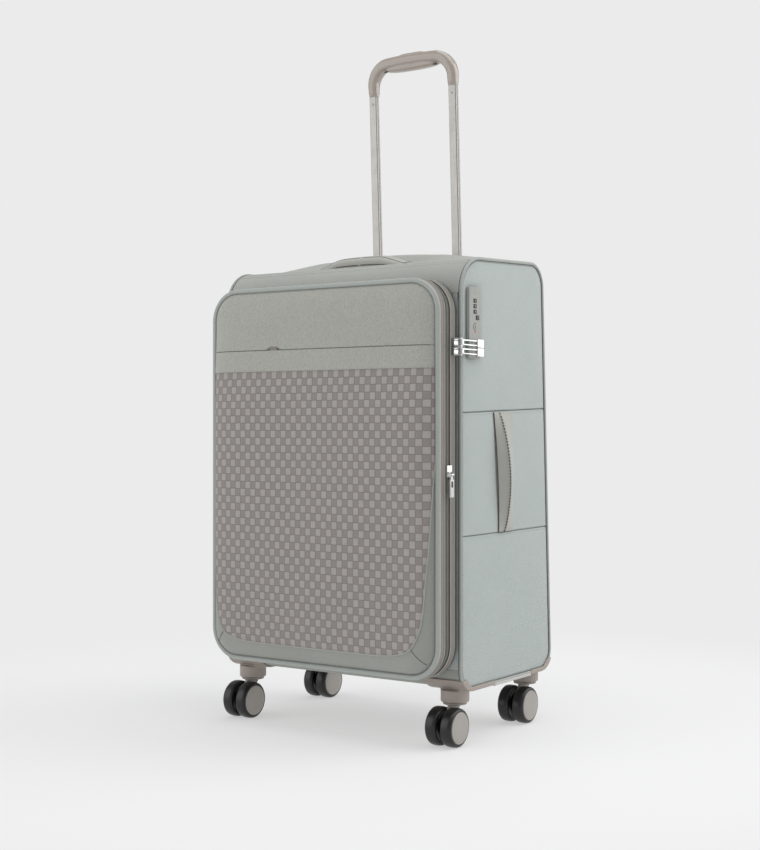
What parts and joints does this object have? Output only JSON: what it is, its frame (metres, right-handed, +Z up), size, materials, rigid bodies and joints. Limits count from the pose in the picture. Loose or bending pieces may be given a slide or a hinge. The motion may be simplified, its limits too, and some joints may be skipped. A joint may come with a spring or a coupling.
{
  "type": "softside upright suitcase",
  "caption": "Soft-sided upright suitcase with a hinged expanding lid, zips, side lock, carry handles, telescopic pull handle and twin-wheel swivel casters.",
  "frame": {"origin": "middle of the footprint on the floor, under the wheels", "axes": "+Z up, front of the case towards -Y, lock side towards +X"},
  "size_m": [0.425, 0.3114, 1.0017],
  "materials": {
    "bright_metal": "polished plating",
    "check_fabric": "jacquard weave",
    "dark_plastic": "moulded",
    "dark_tube_metal": "plain anodised",
    "front_fabric": "woven polyester",
    "gloss_plastic": "polished moulding",
    "light_plastic": "moulded",
    "lining": "lining cloth",
    "lock_plastic": "moulded",
    "side_fabric": "woven polyester",
    "steel": "drawn",
    "taupe_plastic": "moulded",
    "tube_metal": "anodised champagne",
    "tyre": "smooth tread"
  },
  "bodies": {
    "case": {"back_panel": "side_fabric", "bottom_tray": "taupe_plastic", "front_frame": "side_fabric", "front_left_guard": "taupe_plastic", "front_right_guard": "taupe_plastic", "handle_bezel": "gloss_plastic", "left_base_skid": "light_plastic", "left_outer_tube": "dark_tube_metal", "left_side_panel": "side_fabric", "left_wire_hoop": "steel", "lock_body": "lock_plastic", "packing_strap": "dark_plastic", "rear_left_guard": "taupe_plastic", "rear_right_guard": "taupe_plastic", "right_base_skid": "light_plastic", "right_outer_tube": "dark_tube_metal", "right_side_panel": "side_fabric", "right_wire_hoop": "steel", "top_panel": "side_fabric", "tube_cover": "lining", "tube_foot_bracket": "dark_plastic"},
    "top_handle": {"top_handle": "side_fabric"},
    "side_handle": {"side_handle": "side_fabric"},
    "pull_handle": {"right_inner_tube": "tube_metal", "left_inner_tube": "tube_metal", "grip": "gloss_plastic"},
    "grip_button": {"grip_button": "gloss_plastic"},
    "release_rods": {"right_release_rod": "steel", "left_release_rod": "steel"},
    "right_lock_pin": {"right_lock_pin": "steel"},
    "left_lock_pin": {"left_lock_pin": "steel"},
    "dial_1": {"lock_dial_1": "dark_plastic"},
    "dial_2": {"lock_dial_2": "dark_plastic"},
    "dial_3": {"lock_dial_3": "dark_plastic"},
    "lock_button": {"lock_button": "dark_plastic"},
    "key_cylinder": {"key_cylinder": "bright_metal"},
    "upper_slider": {"upper_main_slider": "bright_metal"},
    "upper_pull": {"upper_lock_pull": "bright_metal"},
    "lower_slider": {"lower_main_slider": "bright_metal"},
    "lower_pull": {"lower_lock_pull": "bright_metal"},
    "lid_frame": {"lid_gusset": "front_fabric", "expansion_fold": "lining"},
    "lid_front": {"lid_shell": "check_fabric"},
    "expansion_slider": {"expansion_slider": "bright_metal"},
    "expansion_pull": {"expansion_pull": "bright_metal"},
    "pocket_slider": {"pocket_slider": "bright_metal"},
    "front_right_fork": {"front_right_fork": "taupe_plastic"},
    "front_right_outer_wheel": {"front_right_outer_wheel": "tyre"},
    "front_right_inner_wheel": {"front_right_inner_wheel": "tyre"},
    "front_left_fork": {"front_left_fork": "taupe_plastic"},
    "front_left_outer_wheel": {"front_left_outer_wheel": "tyre"},
    "front_left_inner_wheel": {"front_left_inner_wheel": "tyre"},
    "rear_right_fork": {"rear_right_fork": "taupe_plastic"},
    "rear_right_outer_wheel": {"rear_right_outer_wheel": "tyre"},
    "rear_right_inner_wheel": {"rear_right_inner_wheel": "tyre"},
    "rear_left_fork": {"rear_left_fork": "taupe_plastic"},
    "rear_left_outer_wheel": {"rear_left_outer_wheel": "tyre"},
    "rear_left_inner_wheel": {"rear_left_inner_wheel": "tyre"}
  },
  "joints": [
    {"name": "lid_hinge", "type": "hinge", "parent": "case", "child": "lid_frame", "pos_m": [-0.2111, -0.09966, 0.36275], "axis": [0, 0, -1], "range_deg": [0, 180]},
    {"name": "expansion_slide", "type": "slide", "parent": "lid_frame", "child": "lid_front", "axis": [0, -1, 0], "range_m": [0, 0.04]},
    {"name": "handle_slide", "type": "slide", "parent": "case", "child": "pull_handle", "axis": [0, -0.0436, 0.999], "range_m": [-0.308, 0]},
    {"name": "grip_button_press", "type": "slide", "parent": "pull_handle", "child": "grip_button", "axis": [0, 0.0436, -0.999], "range_m": [0, 0.004], "stiffness_N_per_m": 900, "springref_m": -0.002},
    {"name": "release_rod_slide", "type": "slide", "parent": "pull_handle", "child": "release_rods", "axis": [0, 0.0436, -0.999], "range_m": [0, 0.004]},
    {"name": "right_pin_slide", "type": "slide", "parent": "pull_handle", "child": "right_lock_pin", "axis": [-1, 0, 0], "range_m": [0, 0.002]},
    {"name": "left_pin_slide", "type": "slide", "parent": "pull_handle", "child": "left_lock_pin", "axis": [1, 0, 0], "range_m": [0, 0.002]},
    {"name": "top_handle_lift", "type": "slide", "parent": "case", "child": "top_handle", "axis": [0, -0.0999, 0.995], "range_m": [0, 0.02], "stiffness_N_per_m": 300},
    {"name": "side_handle_lift", "type": "slide", "parent": "case", "child": "side_handle", "axis": [1, 0, 0], "range_m": [0, 0.015], "stiffness_N_per_m": 300},
    {"name": "dial_1_turn", "type": "hinge", "parent": "case", "child": "dial_1", "pos_m": [0.1957, -0.07016, 0.602], "axis": [0, 0, 1], "continuous": true},
    {"name": "dial_2_turn", "type": "hinge", "parent": "case", "child": "dial_2", "pos_m": [0.1957, -0.07016, 0.5945], "axis": [0, 0, 1], "continuous": true},
    {"name": "dial_3_turn", "type": "hinge", "parent": "case", "child": "dial_3", "pos_m": [0.1957, -0.07016, 0.587], "axis": [0, 0, 1], "continuous": true},
    {"name": "lock_button_press", "type": "slide", "parent": "case", "child": "lock_button", "axis": [-1, 0, 0], "range_m": [0, 0.0014], "stiffness_N_per_m": 600},
    {"name": "key_turn", "type": "hinge", "parent": "case", "child": "key_cylinder", "pos_m": [0.1964, -0.07016, 0.5666], "axis": [1, 0, 0], "range_deg": [0, 90]},
    {"name": "upper_slider_run", "type": "slide", "parent": "case", "child": "upper_slider", "axis": [0, 0, 1], "range_m": [0, 0.036]},
    {"name": "upper_pull_swing", "type": "hinge", "parent": "upper_slider", "child": "upper_pull", "pos_m": [0.2025, -0.10796, 0.5443], "axis": [0, 0, -1], "range_deg": [0, 165]},
    {"name": "lower_slider_run", "type": "slide", "parent": "case", "child": "lower_slider", "axis": [0, 0, -1], "range_m": [0, 0.3871]},
    {"name": "lower_pull_swing", "type": "hinge", "parent": "lower_slider", "child": "lower_pull", "pos_m": [0.2025, -0.10796, 0.5323], "axis": [0, 0, -1], "range_deg": [0, 165]},
    {"name": "expansion_slider_run", "type": "slide", "parent": "lid_frame", "child": "expansion_slider", "axis": [0, 0, 1], "range_m": [-0.1975, 0.2055]},
    {"name": "expansion_pull_swing", "type": "hinge", "parent": "expansion_slider", "child": "expansion_pull", "pos_m": [0.1962, -0.12206, 0.368], "axis": [0, -1, 0], "range_deg": [0, 150]},
    {"name": "pocket_slider_run", "type": "slide", "parent": "lid_front", "child": "pocket_slider", "axis": [1, 0, 0], "range_m": [-0.087, 0.231]},
    {"name": "front_right_swivel", "type": "hinge", "parent": "case", "child": "front_right_fork", "pos_m": [0.1708, -0.07166, 0.058], "axis": [0, 0, 1], "continuous": true},
    {"name": "front_right_outer_spin", "type": "hinge", "parent": "front_right_fork", "child": "front_right_outer_wheel", "pos_m": [0.18275, -0.09226, 0.0265], "axis": [1, 0, 0], "continuous": true},
    {"name": "front_right_inner_spin", "type": "hinge", "parent": "front_right_fork", "child": "front_right_inner_wheel", "pos_m": [0.15885, -0.09226, 0.0265], "axis": [1, 0, 0], "continuous": true},
    {"name": "front_left_swivel", "type": "hinge", "parent": "case", "child": "front_left_fork", "pos_m": [-0.184, -0.07166, 0.058], "axis": [0, 0, 1], "continuous": true},
    {"name": "front_left_outer_spin", "type": "hinge", "parent": "front_left_fork", "child": "front_left_outer_wheel", "pos_m": [-0.19595, -0.09226, 0.0265], "axis": [1, 0, 0], "continuous": true},
    {"name": "front_left_inner_spin", "type": "hinge", "parent": "front_left_fork", "child": "front_left_inner_wheel", "pos_m": [-0.17205, -0.09226, 0.0265], "axis": [1, 0, 0], "continuous": true},
    {"name": "rear_right_swivel", "type": "hinge", "parent": "case", "child": "rear_right_fork", "pos_m": [0.1708, 0.12484, 0.058], "axis": [0, 0, 1], "continuous": true},
    {"name": "rear_right_outer_spin", "type": "hinge", "parent": "rear_right_fork", "child": "rear_right_outer_wheel", "pos_m": [0.18275, 0.10424, 0.0265], "axis": [1, 0, 0], "continuous": true},
    {"name": "rear_right_inner_spin", "type": "hinge", "parent": "rear_right_fork", "child": "rear_right_inner_wheel", "pos_m": [0.15885, 0.10424, 0.0265], "axis": [1, 0, 0], "continuous": true},
    {"name": "rear_left_swivel", "type": "hinge", "parent": "case", "child": "rear_left_fork", "pos_m": [-0.184, 0.12484, 0.058], "axis": [0, 0, 1], "continuous": true},
    {"name": "rear_left_outer_spin", "type": "hinge", "parent": "rear_left_fork", "child": "rear_left_outer_wheel", "pos_m": [-0.19595, 0.10424, 0.0265], "axis": [1, 0, 0], "continuous": true},
    {"name": "rear_left_inner_spin", "type": "hinge", "parent": "rear_left_fork", "child": "rear_left_inner_wheel", "pos_m": [-0.17205, 0.10424, 0.0265], "axis": [1, 0, 0], "continuous": true}
  ],
  "couplings": [
    {"joint": "release_rod_slide", "follows": "grip_button_press", "ratio": 1},
    {"joint": "right_pin_slide", "follows": "grip_button_press", "ratio": 0.5},
    {"joint": "left_pin_slide", "follows": "grip_button_press", "ratio": 0.5}
  ]
}
